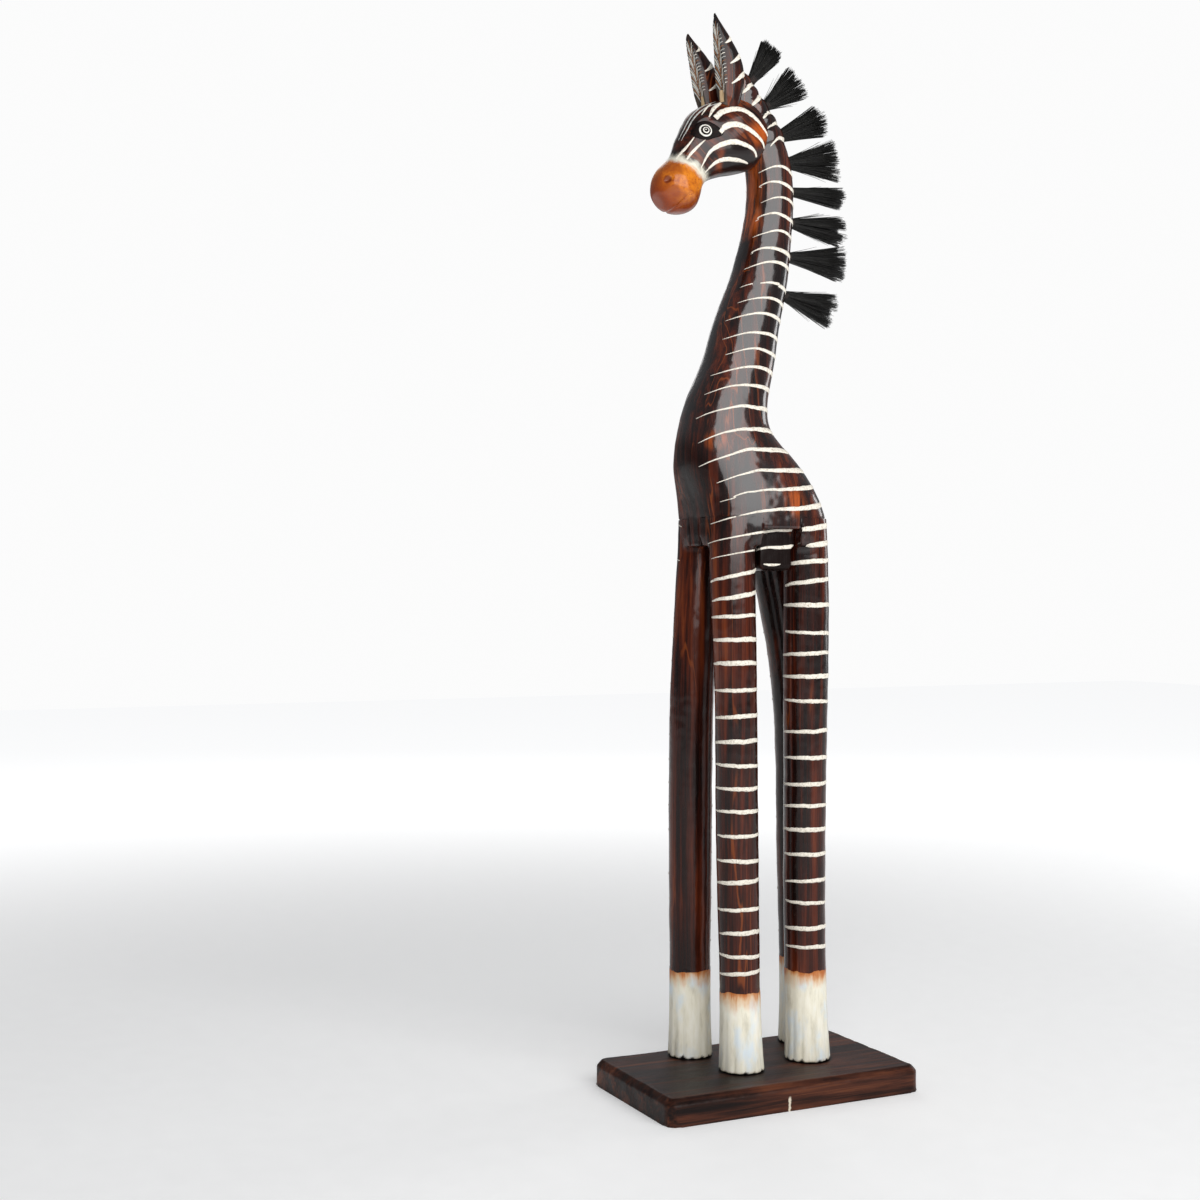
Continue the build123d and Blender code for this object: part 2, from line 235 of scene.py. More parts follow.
def leg_material(name, top):
    """Stained wood with a painted foot that ends at its own height."""
    graph = Graph("stained_" + name)
    colour, streak, fine, varnish = log_wood(graph, 0.03 if name == "leg_front_right" else 0.0)
    ragged = graph.times(graph.noise((70, 70, 70), 2.0), 0.010, graph.height())
    brush = graph.noise((150, 150, 34), 4.0, 0.6)
    cloud = graph.noise((55, 55, 30), 3.0)
    paint = graph.ramp(brush, (0.30, (0.66, 0.62, 0.50)), (0.46, (0.83, 0.79, 0.65)),
                       (0.66, (0.90, 0.87, 0.76)))
    paint = graph.mix(graph.step(cloud, 0.48, 0.72), paint, (0.72, 0.79, 0.82))
    # the top of the foot is toned ochre, then rust, in drips
    drip = graph.times(brush, 0.030, ragged)
    ochre = graph.step(drip, top + 2 * MM, top + 18 * MM)
    paint = graph.mix(graph.times(ochre, 0.85), paint, (0.64, 0.33, 0.12))
    paint = graph.mix(graph.step(drip, top + 12 * MM, top + 22 * MM), paint, (0.46, 0.13, 0.025))
    # browner and darker just above the plank
    base_band = graph.step(graph.times(brush, 0.006, graph.height()), PLANK_TOP + 7 * MM, PLANK_TOP + 1 * MM)
    paint = graph.mix(graph.times(base_band, 0.6), paint, (0.42, 0.33, 0.20))
    painted = graph.step(ragged, top + 5.8 * MM, top + 5.4 * MM)
    colour = graph.mix(painted, colour, paint)
    # painted shade: near-black along the scalloped lower edge of the foot, where it meets the plank
    colour = graph.mix(graph.attribute("foot_gap_shade"), colour, (0.006, 0.004, 0.004))
    return wood_surface(graph, colour, streak, fine, graph.times(painted, 0.25, 0.21), varnish)


def head_material():
    graph = Graph("stained_head")
    colour, streak, fine = stained(graph, (0, math.pi / 2 + HEAD_PITCH, 0), (0.5, 0, 0.1))
    colour = rusted(graph, colour, streak, HEAD_RUST, 0.38, 1.0)
    for side in SIDES:
        patch = graph.near(beside_head(DARK_CHEEK, side), 24 * MM)
        colour = graph.mix(graph.step(patch, 0.0, 0.6), colour, DARK)
    along = graph.dot(graph.place, HEAD_ALONG, CHEEK)
    up = graph.dot(graph.place, HEAD_UP, CHEEK)
    blotch = graph.noise((130, 130, 130), 4.0, 0.6)
    grit = graph.noise((420, 420, 420), 3.0, 0.6)
    # a pale band, then the orange muzzle, both cut off by a slanting ragged edge
    tilted = graph.times(fine, 0.006, graph.times(blotch, 0.010, graph.times(up, -0.42, along)))
    colour = graph.mix(graph.step(tilted, 0.0615, 0.0705), colour, (0.72, 0.69, 0.58))
    warm = graph.ramp(blotch, (0.32, (0.33, 0.066, 0.005)), (0.47, (0.55, 0.150, 0.008)),
                      (0.66, (0.70, 0.225, 0.012)))
    warm = graph.mix(graph.step(grit, 0.57, 0.70), warm, (0.30, 0.055, 0.006))
    cloud = graph.noise((48, 48, 48), 3.0, 0.5, shift=(0.07, 0.02, 0.01))
    warm = graph.mix(graph.times(graph.step(cloud, 0.50, 0.64), 0.7), warm, (0.27, 0.050, 0.006))
    # painted shade: the muzzle is darker along its underside and at the very front
    chin_shade = graph.times(blotch, 0.018, graph.times(along, -0.35, up))
    warm = graph.mix(graph.step(chin_shade, -0.020, -0.045), warm, (0.20, 0.030, 0.005))
    ahead = graph.times(blotch, 0.012, along)
    warm = graph.mix(graph.step(ahead, 0.094, 0.112), warm, (0.24, 0.038, 0.005))
    for side in SIDES:
        notch = graph.near(beside_head(NOSTRIL, side), 6.5 * MM)
        warm = graph.mix(graph.times(graph.step(notch, 0.3, 0.9), 0.8), warm, (0.12, 0.014, 0.004))
    colour = graph.mix(graph.step(tilted, 0.0695, 0.0775), colour, warm)
    return wood_surface(graph, colour, streak, fine, 0.24, 0.32)


def ear_material():
    graph = Graph("painted_ear")
    colour, streak, fine = stained(graph, shift=(0.2, 0.5, 0.0))
    normal = graph.node("NewGeometry").outputs["Normal"]
    inside = graph.times(graph.step(graph.dot(normal, (-1, 0, 0)), 0.35, 0.6),
                         graph.step(graph.height(), 0.990, 0.975))
    grey = graph.ramp(streak, (0.35, (0.020, 0.017, 0.015)), (0.65, (0.085, 0.070, 0.055)))
    colour = graph.mix(graph.times(inside, 0.9), colour, grey)
    dark = graph.step(graph.height(), 0.935, 0.965)
    colour = graph.mix(graph.times(dark, 0.7), colour, (0.008, 0.006, 0.006))
    return wood_surface(graph, colour, streak, fine, 0.30, 0.25)


def plank_material():
    graph = Graph("stained_plank")
    broad = graph.noise((6, 45, 45), 3.0, 0.5, 0.6)
    streak = graph.noise((9, 260, 260), 5.0, 0.62, 0.5)
    fine = graph.noise((40, 1100, 1100), 3.0, 0.6)
    mixed = graph.times(broad, 0.5, graph.times(streak, 0.5))
    colour = graph.ramp(mixed, (0.42, (0.007, 0.0030, 0.0024)), (0.50, (0.024, 0.0080, 0.0050)),
                        (0.58, (0.070, 0.021, 0.011)), (0.70, (0.16, 0.052, 0.022)))
    worn = graph.noise((60, 60, 60), 4.0, 0.7)
    rub = graph.times(graph.attribute("edge_wear"), graph.step(worn, 0.42, 0.62))
    colour = graph.mix(graph.times(rub, 0.4), colour, (0.13, 0.042, 0.018))
    # a thin pale split, only low on the near side
    off = graph.times(worn, 0.010, graph.dot(graph.place, (1, 0, 0), CHIP))
    chip = graph.line(off, 0.005, 0.0014, 0.0008)
    chip = graph.times(chip, graph.step(graph.height(), CHIP[2] + 3 * MM, CHIP[2]))
    chip = graph.times(chip, graph.step(graph.dot(graph.place, (0, 1, 0)), -72 * MM, -75 * MM))
    colour = graph.mix(chip, colour, (0.62, 0.55, 0.44))
    # painted shadow: a near-black ring on the plank round each foot
    colour = graph.mix(graph.attribute("foot_ring_shade"), colour, (0.004, 0.003, 0.003))
    relief = graph.times(fine, 0.35, graph.times(streak, 0.65))
    shine = graph.times(streak, 0.2, 0.30)
    return graph.finish(colour, shine, relief, 0.0006, coat=0.06, coat_rough=0.25, specular=0.1)


def paint_material(name, colour, thin, rough=0.42, specular=0.3):
    """Hand-brushed paint that is thinner, and so greyer, in places."""
    graph = Graph(name)
    brush = graph.noise((520, 520, 520), 4.0, 0.6)
    mixed = graph.mix(graph.step(brush, 0.54, 0.30), colour, thin)
    return graph.finish(mixed, rough, brush, 0.0002, specular=specular)


def bristle_material():
    graph = Graph("bristle_black")
    tone = graph.noise((800, 800, 800), 2.0)
    colour = graph.ramp(tone, (0.40, (0.003, 0.0028, 0.0028)), (0.66, (0.014, 0.013, 0.011)),
                        (0.78, (0.075, 0.075, 0.060)))
    return graph.finish(colour, 0.45, specular=0.3)


def plain_material(name, scale, detail, dark, light, rough, depth, metallic=0.0):
    """One noise between two tones, for the cord, the bare dowels and the screws."""
    graph = Graph(name)
    tone = graph.noise(scale, detail)
    graph.shader.inputs["Metallic"].default_value = metallic
    return graph.finish(graph.ramp(tone, (0.3, dark), (0.7, light)), rough, tone, depth)


# ---- meshes
def placed(name, data):
    obj = bpy.data.objects.new(name, data)
    bpy.context.scene.collection.objects.link(obj)
    return obj


def piece(name, mesh, material, replaced=()):
    """A finished visible object that rides on the statue's one body."""
    obj = placed(name, mesh)
    mesh.materials.clear()
    mesh.materials.append(material)
    mesh.polygons.foreach_set("use_smooth", [True] * len(mesh.polygons))
    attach(obj, "root")
    if replaced:
        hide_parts(*replaced)


def remeshed(nodes, voxel, rounds):
    """An even mesh of the shape of CAD nodes, softened so that its arrises are rounded over."""
    mesh = bpy.data.meshes.new("even")
    cleaner = bmesh.new()
    for node in nodes:
        cleaner.from_mesh(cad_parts[node].data)
    bmesh.ops.remove_doubles(cleaner, verts=cleaner.verts, dist=1e-6)
    cleaner.to_mesh(mesh)
    cleaner.free()
    temporary = placed("temporary", mesh)
    grid = temporary.modifiers.new("grid", "REMESH")
    grid.mode = "VOXEL"
    grid.voxel_size = voxel
    soften = temporary.modifiers.new("soften", "SMOOTH")
    soften.iterations = rounds
    graph = bpy.context.evaluated_depsgraph_get()
    result = bpy.data.meshes.new_from_object(temporary.evaluated_get(graph))
    bpy.data.objects.remove(temporary)
    bpy.data.meshes.remove(mesh)
    spare = [a.name for a in result.attributes if not a.is_required and a.name != "sharp_face"
             and not a.name.startswith(".")]
    for name in spare:
        result.attributes.remove(result.attributes[name])
    return result


def ease(mesh, level, reach, rounds):
    """Smooths a mesh only within a band of heights, so that a step there becomes a soft fillet."""
    worker = bmesh.new()
    worker.from_mesh(mesh)
    band = [v for v in worker.verts if abs(v.co.z - level) < reach]
    for _ in range(rounds):
        bmesh.ops.smooth_vert(worker, verts=band, factor=0.5, use_axis_x=True, use_axis_y=True,
                              use_axis_z=False)
    worker.to_mesh(mesh)
    worker.free()


def points_of(mesh):
    flat = np.zeros(len(mesh.vertices) * 3)
    mesh.vertices.foreach_get("co", flat)
    return flat.reshape(-1, 3)


def mark(mesh, name, values):
    """Gives each vertex a value that the material reads."""
    layer = mesh.attributes.new(name, "FLOAT", "POINT")
    layer.data.foreach_set("value", values.astype(np.float32))


def normals_of(mesh):
    return np.array([v.normal for v in mesh.vertices])


def displaced(mesh, amounts):
    """Moves each vertex along its normal by its own amount, in metres."""
    moved = points_of(mesh) + normals_of(mesh) * np.asarray(amounts)[:, None]
    mesh.vertices.foreach_set("co", moved.ravel())
    mesh.update()


def tool_marks(points, scale, depth):
    """Shallow hollows of a carving knife."""
    return np.array([noise.noise(Vector(p) * scale) for p in points]) * depth


def knife_marks(points):
    """The marks on the log and the legs, which run on across the joints between them."""
    return tool_marks(points, 45, 0.38 * MM) + tool_marks(points, 160, 0.12 * MM)


def bump(distance, radius):
    """1 at the middle of a patch, easing to 0 at its radius."""
    share = np.clip(1 - np.asarray(distance) / radius, 0, 1)
    return share * share * (3 - 2 * share)


def surface_of(*meshes):
    vertices = []
    faces = []
    for mesh in meshes:
        base = len(vertices)
        vertices += [v.co.copy() for v in mesh.vertices]
        faces += [[base + i for i in polygon.vertices] for polygon in mesh.polygons]
    return BVHTree.FromPolygons(vertices, faces)


def wobble(position, seed):
    """An unsteady hand: smooth noise along a stroke, different for each seed."""
    return noise.noise(Vector((position, seed * 7.31, seed * 1.7)))


def middle_at(points, height, reach):
    """The middle of the box round the points that lie within reach of a height."""
    ring = points[np.abs(points[:, 2] - height) < reach]
    return (ring.min(0) + ring.max(0)) / 2


def traced(surface, rays):
    """Where rays, each a start and a direction, meet a surface: points and their normals."""
    hits = [surface.ray_cast(start, aim) for start, aim in rays]
    return [(found, facing) for found, facing, _, _ in hits if found is not None]


def round_back(surface, points, height, rise, half_turn, count):
    """A path round the back of an upright shape, at a height in mm and higher by rise at the very back."""
    centre = middle_at(points, height * MM, 1.5 * MM)
    rays = []
    for step in range(count):
        angle = math.radians(half_turn * (2 * step / (count - 1) - 1))
        outward = Vector((math.cos(angle), -math.sin(angle), 0))
        level = (height + rise * math.cos(angle)) * MM
        rays.append((Vector((centre[0], centre[1], level)) + outward * 50 * MM, -outward))
    return traced(surface, rays)


def add_band(target, first, second):
    """Faces between two closed rings of vertices."""
    size = len(first)
    for i in range(size):
        j = (i + 1) % size
        target.faces.new((first[i], first[j], second[j], second[i]))


PAINT_LIFT = 0.42 * MM
FULL_LIFT_WIDTH = 2.2 * MM      # narrower strokes carry less paint
SUNK = 0.35 * MM
PATCH_SUNK = 0.4 * MM
STROKE_GAP = 6 * MM


def add_stroke(target, surface, path, widths, seed=0.0):
    """A raised brush stroke along surface points: closed, lens-shaped in section, sunk at its base."""
    count = len(path)
    if count < 3:
        return
    across = 7
    rings = []
    for index, (point, normal) in enumerate(path):
        ahead = path[min(index + 1, count - 1)][0] - path[max(index - 1, 0)][0]
        side = normal.cross(ahead).normalized()
        upper = widths[index] * 0.5 * (1 + 0.22 * wobble(index * 0.37, seed + 1))
        lower = widths[index] * 0.5 * (1 + 0.22 * wobble(index * 0.37, seed + 9))
        tops = []
        bases = []
        for step in range(across):
            share = 2 * step / (across - 1) - 1
            offset = share * (upper if share > 0 else lower)
            found, facing, _, _ = surface.find_nearest(point + side * offset)
            if facing.dot(normal) < 0.2:
                facing = normal
            rise = PAINT_LIFT * math.sqrt(max(0.0, 1 - share * share))
            rise *= min(1.0, widths[index] / FULL_LIFT_WIDTH)
            tops.append(target.verts.new(found + facing * (rise + 0.03 * MM)))
            bases.append(target.verts.new(found - facing * SUNK))
        rings.append(tops + bases[::-1])
    for first, second in zip(rings, rings[1:]):
        add_band(target, first, second)
    target.faces.new(rings[0][::-1])
    target.faces.new(rings[-1])


def add_strokes(target, surface, path, widths, seed=0.0):
    """A stroke that is broken wherever the surface steps in or out under the brush."""
    start = 0
    for index in range(1, len(path) + 1):
        if index == len(path) or (path[index][0] - path[index - 1][0]).length > STROKE_GAP:
            add_stroke(target, surface, path[start:index], widths[start:index], seed=seed + start)
            start = index


def add_patch(target, outline, place, stand, lift):
    """A domed patch of paint on the surface that place() finds; it stands on the paint below it."""
    centre = sum((Vector(p) for p in outline), Vector((0, 0))) / len(outline)
    levels = []
    rings = 6
    for level in range(1, rings + 1):
        share = level / rings
        rise = stand + lift * math.sqrt(max(0.0, 1 - share ** 3))
        ring = []
        for corner in outline:
            spot = centre.lerp(Vector(corner), share)
            found, facing = place(spot)
            ring.append(target.verts.new(found + facing * rise))
        levels.append(ring)
    found, facing = place(centre)
    middle = target.verts.new(found + facing * (stand + lift))
    base = []
    for corner in outline:
        found, facing = place(Vector(corner))
        base.append(target.verts.new(found - facing * PATCH_SUNK))
    levels.append(base)
    size = len(outline)
    for i in range(size):
        target.faces.new((middle, levels[0][i], levels[0][(i + 1) % size]))
    for first, second in zip(levels, levels[1:]):
        add_band(target, first, second)
    target.faces.new(base[::-1])


def paint_piece(name, target, paint):
    """The visible object made of the strokes, patches or cord built so far."""
    bmesh.ops.recalc_face_normals(target, faces=target.faces)
    mesh = bpy.data.meshes.new(name)
    target.to_mesh(mesh)
    target.free()
    piece(name, mesh, paint)


def catmull_rom(a, b, c, d, count):
    """Points from b on towards c on the smooth curve through four points."""
    shares = [step / count for step in range(count)]
    return [0.5 * (2 * b + (c - a) * t + (2 * a - 5 * b + 4 * c - d) * t * t
                   + (3 * b - a - 3 * c + d) * t ** 3) for t in shares]


def smooth_line(points, spacing):
    """Evenly spaced points along a smooth curve through the given ones."""
    ends = [points[0] * 2 - points[1]] + list(points) + [points[-1] * 2 - points[-2]]
    dense = []
    for four in zip(ends, ends[1:], ends[2:], ends[3:]):
        dense += catmull_rom(*four, 16)
    dense.append(points[-1])
    lengths = [0.0]
    for p, q in zip(dense, dense[1:]):
        lengths.append(lengths[-1] + (q - p).length)
    count = max(4, round(lengths[-1] / spacing))
    even = []
    index = 0
    for step in range(count + 1):
        goal = lengths[-1] * step / count
        while index < len(lengths) - 2 and lengths[index + 1] < goal:
            index += 1
        span = lengths[index + 1] - lengths[index] or 1.0
        even.append(dense[index].lerp(dense[index + 1], (goal - lengths[index]) / span))
    return even


def taper(count, width, start, end, fullest=0.5):
    """Widths along a stroke, with the ends brushed out to the given shares of its width."""
    widths = []
    for index in range(count):
        t = index / (count - 1)
        share = t / fullest if t < fullest else (1 - t) / (1 - fullest)
        floor = start if t < fullest else end
        share = min(1.0, max(0.0, share))
        widths.append(width * (floor + (1 - floor) * math.sin(share * math.pi / 2)))
    return widths


# ---- carved shapes
# the left half of each stroke down the nape, in mm; they lie in the steps of the carved scales
CREST = (
    ((-21, 11, 941.6), (-14.3, 7.4, 947), (-6.5, 18, 950)),
    ((-16.5, 9.2, 924.4), (-7.8, 4.4, 931.4), (5, 18, 940)),
    ((-8.2, 5.1, 912.3), (-2.1, 2.9, 917.5), (5.7, 4.9, 924.7), (11, 18, 930)),
    ((3.6, 1.3, 903.5), (10.1, 1.2, 907.1), (21, 18, 914)),
    ((11, -0.1, 894.7), (16.2, 0.3, 899.1), (21.9, 2.8, 903), (27, 18, 904)),
    ((15.2, -1.5, 879.9), (22.2, -0.8, 888), (28.9, 1.9, 889.5), (36, 18, 890)),
)

body_mesh = remeshed(["body_and_neck"], 1.4 * MM, 1)
head_mesh = remeshed(["head"], 0.85 * MM, 3)
leg_meshes = {name: remeshed([name], 1.4 * MM, 1) for name in LEGS}
for mesh in leg_meshes.values():
    ease(mesh, LOG_UNDERSIDE, 9 * MM, 30)
ear_meshes = {name: remeshed([name], 0.7 * MM, 2) for name in ("ear_left", "ear_right")}
tail_mesh = remeshed(["tail"], 0.8 * MM, 3)
plank_mesh = remeshed(["base_plank"], 1.5 * MM, 2)

# body: knife marks, and the stepped scales down the nape, which tilt up towards the mane
SCALE_TILT = 0.35
SCALE_RISE = 2.3 * MM
points = points_of(body_mesh)
amounts = knife_marks(points)
heights = points[:, 2] - SCALE_TILT * points[:, 0]
notches = sorted((stroke[-1][2] - SCALE_TILT * stroke[-1][0]) * MM for stroke in CREST)
nape_front = np.interp(points[:, 2], [0.86, 0.95], [0.012, -0.02])
behind = np.clip((points[:, 0] - nape_front) / (16 * MM), 0, 1)
for low, high in zip(notches, notches[1:]):
    inside = (heights > low) & (heights < high)
    share = np.clip((heights - low) / (high - low), 0, 1)
    amounts += inside * behind * np.sin(share * math.pi) ** 0.6 * SCALE_RISE
displaced(body_mesh, amounts)

# legs: knife marks, and fluted feet that stand a little proud, with painted shade along a scalloped lower
# edge
PAINT_PROUD = 0.3 * MM
FLUTE_DEPTH = 0.8 * MM
FLUTE_LENGTH = 70 * MM
for number, name in enumerate(LEGS):
    mesh = leg_meshes[name]
    points = points_of(mesh)
    top = FOOT_TOPS[name]
    centre = middle_at(points, 0.0, top)
    angle = np.arctan2(points[:, 1] - centre[1], points[:, 0] - centre[0])
    flutes = 13 + number
    wave = np.abs(np.sin(angle * flutes / 2 + number))
    painted = bump(np.maximum(points[:, 2] - (top + 0.5 * MM), 0), 2.5 * MM)
    reach = np.clip((top - points[:, 2]) / FLUTE_LENGTH, 0, 1)
    upright = np.abs(normals_of(mesh)[:, 2]) < 0.7
    amounts = knife_marks(points) * (points[:, 2] > top)
    amounts += painted * (PAINT_PROUD + reach * (wave * FLUTE_DEPTH - 0.5 * MM)) * upright
    displaced(mesh, amounts)
    points = points_of(mesh)
    # the scalloped line below which the foot is darkened with painted shade
    ragged = np.array([0.6 + noise.noise(Vector((math.cos(a), math.sin(a), number)) * 2.3) for a in angle])
    scallop = PLANK_TOP + (0.9 + 3.0 * (1 - wave) * ragged) * MM
    mark(mesh, "foot_gap_shade", np.clip((scallop - points[:, 2]) / MM, 0, 1))

# the varnish runs over the joints: near them the shading follows the log and the legs as one
joined = remeshed(["body_and_neck", *LEGS], 1.5 * MM, 4)
ease(joined, LOG_UNDERSIDE, 9 * MM, 30)
displaced(joined, knife_marks(points_of(joined)))
joined_tree = KDTree(len(joined.vertices))
for vertex in joined.vertices:
    joined_tree.insert(vertex.co, vertex.index)
joined_tree.balance()
for mesh in (body_mesh, *leg_meshes.values()):
    normals = []
    for vertex in mesh.vertices:
        normal = vertex.normal.copy()
        if abs(vertex.co.z - NOTCH_TOP) < 6 * MM:
            _, index, gap = joined_tree.find(vertex.co)
            lent = joined.vertices[index].normal
            if gap < 2.2 * MM and lent.dot(normal) > -0.2:
                normal = lent.copy()
        normals.append(normal)
    mesh.polygons.foreach_set("use_smooth", [True] * len(mesh.polygons))
    mesh.normals_split_custom_set_from_vertices(normals)


def head_spot(along, up, side):
    """Where a ray from that side meets the head, at a place along and across it: point, normal."""
    start = beside_head((along, up, 100), side)
    found, facing, _, _ = head_surface.ray_cast(start, Vector((0, -side, 0)))
    return (found, facing) if found is not None else None


# head: eye sockets under a brow, nostrils and a mouth line; sizes in mm along and up the head
points = points_of(head_mesh)
relative = points - np.array(CHEEK)
along = relative @ np.array(HEAD_ALONG) / MM
up = relative @ np.array(HEAD_UP) / MM
across = (points[:, 1] - MID_Y) / MM
amounts = tool_marks(points, 90, 0.3 * MM)
for side in SIDES:
    here = across * side > 4
    socket = np.hypot((along - EYE[0] + 1.5) / 1.5, (up - EYE[1] + 2) / 1.05)
    amounts -= here * bump(socket, 9) * 1.6 * MM
    ball = np.hypot(along - EYE[0], up - EYE[1] + 1)
    amounts += here * bump(ball, 7.5) * 1.9 * MM
    brow = np.hypot((along - 33) / 2.6, (up - 38.5 + 0.02 * (along - 33) ** 2) / 0.75)
    amounts += here * bump(brow, 5.5) * 1.3 * MM
    nostril = np.hypot((along - NOSTRIL[0]) / 1.6, up - NOSTRIL[1])
    amounts -= here * bump(nostril, 3.4) * 2.2 * MM
mouth = np.hypot(np.maximum(86 - along, 0), up + 9 + 0.25 * (along - 86))
amounts -= (along > 60) * bump(mouth, 2.4) * 0.9 * MM
displaced(head_mesh, amounts)
head_surface = surface_of(head_mesh)

for name, mesh in ear_meshes.items():
    displaced(mesh, tool_marks(points_of(mesh), 120, 0.25 * MM))
displaced(tail_mesh, tool_marks(points_of(tail_mesh), 120, 0.3 * MM))

# plank: uneven planed faces, rubbed arrises, a few dents
points = points_of(plank_mesh)
inward = np.array([132 * MM, 78 * MM]) - np.abs(points[:, :2])
edge_share = bump(np.maximum(inward.min(1), 0) + np.maximum(PLANK_TOP - points[:, 2], 0), 9 * MM)
corner_share = bump(np.hypot(inward[:, 0], inward[:, 1]), 14 * MM)
above = points[:, 2] > 1.0 * MM
amounts = tool_marks(points * np.array([0.3, 1, 1]), 70, 0.45 * MM)
amounts -= edge_share * np.abs(tool_marks(points, 110, 1.6 * MM)) + corner_share * 0.6 * MM
amounts -= 0.35 * MM
displaced(plank_mesh, amounts * above)
mark(plank_mesh, "edge_wear", np.maximum(edge_share, corner_share))
# a ring of painted shadow on the top of the plank round each foot
shade_ring_share = np.zeros(len(points))
for name in LEGS:
    foot = points_of(leg_meshes[name])
    foot = foot[foot[:, 2] < 30 * MM]
    centre = (foot.min(0) + foot.max(0)) / 2
    radius = (foot[:, 0].max() - foot[:, 0].min()) / 2
    gap = np.hypot(points[:, 0] - centre[0], points[:, 1] - centre[1]) - radius
    shade_ring_share = np.maximum(shade_ring_share, bump(np.maximum(gap, 0), 3.2 * MM) * (points[:, 2] > 20 * MM))
mark(plank_mesh, "foot_ring_shade", shade_ring_share)

body_wood = body_material()
head_wood = head_material()
ear_wood = ear_material()
stripe_paint = paint_material("stripe_cream", CREAM, (0.52, 0.46, 0.38))
grey_paint = paint_material("stripe_grey", (0.52, 0.53, 0.50), (0.20, 0.19, 0.18))
orange_paint = paint_material("stripe_orange", (0.30, 0.13, 0.05), (0.12, 0.045, 0.02))
eye_white = paint_material("eye_white", (0.88, 0.86, 0.79), (0.72, 0.69, 0.62))
black_paint = paint_material("eye_black", (0.005, 0.003, 0.003), (0.016, 0.005, 0.004), 0.5, 0.1)

piece("carved_body_and_neck", body_mesh, body_wood, ["body_and_neck"])
piece("carved_head", head_mesh, head_wood, ["head"])
for name, mesh in leg_meshes.items():
    piece("carved_" + name, mesh, leg_material(name, FOOT_TOPS[name]), [name])
for name, mesh in ear_meshes.items():
    piece("carved_" + name, mesh, ear_wood, [name])
piece("carved_tail", tail_mesh, body_wood, ["tail"])
piece("worn_plank", plank_mesh, plank_material(), ["base_plank"])

# ---- body stripes
torso = surface_of(body_mesh, *leg_meshes.values())


def across_torso(height):
    """The middle of the body or neck at a height, from its front and back in the middle plane."""
    height = max(height, 508 * MM)
    back = torso.ray_cast(Vector((0.3, MID_Y, height)), Vector((-1, 0, 0)))[0]
    front = torso.ray_cast(Vector((-0.3, MID_Y, height)), Vector((1, 0, 0)))[0]
    return Vector(((back.x + front.x) / 2, MID_Y, 0))


FLANK_HEIGHTS = (862, 847, 833, 817, 801, 784, 771, 751, 736, 721, 703, 687, 670, 653, 633, 612,
                 593, 574, 556, 538, 519, 503.5)
stripes = bmesh.new()
for number, flank in enumerate(FLANK_HEIGHTS):
    drop_back = np.interp(flank, [519, 540, 556, 570, 600, 640, 700, 830], [-9, -10, -8, -3, 0, 4, 8, 8])
    drop_front = np.interp(flank, [519, 540, 570, 600, 640, 700, 830], [14, 17, 20, 19, 12, 8, 9])
    left_end = 90 + chance.uniform(50, 72)
    right_end = 90 + chance.uniform(50, 72)
    path = []
    shares = []
    steps = 170 if flank < 640 else 80
    for step in range(steps + 1):
        psi = -right_end + (left_end + right_end) * step / steps
        bend = math.cos(math.radians(psi)) ** 2
        height = (flank - (drop_back if abs(psi) < 90 else drop_front) * bend) * MM
        height += 0.0009 * wobble(step * 0.09, number)
        centre = across_torso(height) + Vector((0, 0, height))
        outward = Vector((math.cos(math.radians(psi)), -math.sin(math.radians(psi)), 0))
        found, facing, _, _ = torso.ray_cast(centre + outward * 0.15, -outward)
        if found is not None:
            path.append((found, facing))
            tail_in = min((psi + right_end) / (right_end - 50), (left_end - psi) / (left_end - 50), 1.0)
            shares.append(0.13 + 0.87 * max(tail_in, 0.0) ** 1.2)
    width = np.interp(flank, [519, 600, 700, 862], [4.9, 5.0, 4.1, 3.7]) * chance.uniform(0.92, 1.1) * MM
    add_strokes(stripes, torso, path, [width * s for s in shares], seed=number * 1.9)

# the short line on the belly between the legs, sagging in the middle
for side in SIDES:
    rays = []
    for step in range(25):
        sag = 0.005 * step * (24 - step)
        start = Vector(((-7 + 18 * step / 24) * MM, MID_Y + side * 0.1, (488 - sag) * MM))
        rays.append((start, Vector((0, -side, 0))))
    path = traced(torso, rays)
    add_strokes(stripes, torso, path, taper(len(path), 2.6 * MM, 0.3, 0.3), seed=30 + side)

for number, stroke in enumerate(CREST):
    left = [Vector(p) * MM for p in stroke]
    right = [Vector((p.x, 2 * MID_Y - p.y, p.z)) for p in left[-2::-1]]
    path = [torso.find_nearest(spot)[:2] for spot in smooth_line(left + right, 1.2 * MM)]
    add_stroke(stripes, torso, path, taper(len(path), 5.4 * MM, 0.12, 0.12), seed=50 + number)
paint_piece("stripes_body", stripes, stripe_paint)

# ---- leg stripes
# the strokes' heights and how much the first four climb towards the tail, in mm,
# then the angles from the outer side at which they start and end
LEG_STRIPES = {
    "leg_front_left": ((478, 459, 440, 419, 397, 373, 349, 326, 305, 284, 263, 241, 217, 198, 173, 152,
                        131, 115), (6.5, 5.5, 2.5, 0.5), (-108, 78)),
    "leg_hind_left": ((490, 472, 450, 425, 405, 384, 361, 333, 308, 284, 263, 241, 218, 193, 173, 150,
                       131), (2.0, 3.0, 0.5, 0.0), (-104, 84)),
    "leg_front_right": ((484, 462, 441, 420, 399, 375, 352, 328, 304, 282, 260, 238, 216, 195, 172, 151,
                         132), (6.0, 5.0, 2.5, 0.5), (-60, 118)),
    "leg_hind_right": ((488, 468, 447, 424, 402, 380, 358, 334, 311, 288, 265, 242, 219, 196, 174, 152,
                        130), (2.0, 3.0, 0.5, 0.0), (-60, 118)),
}
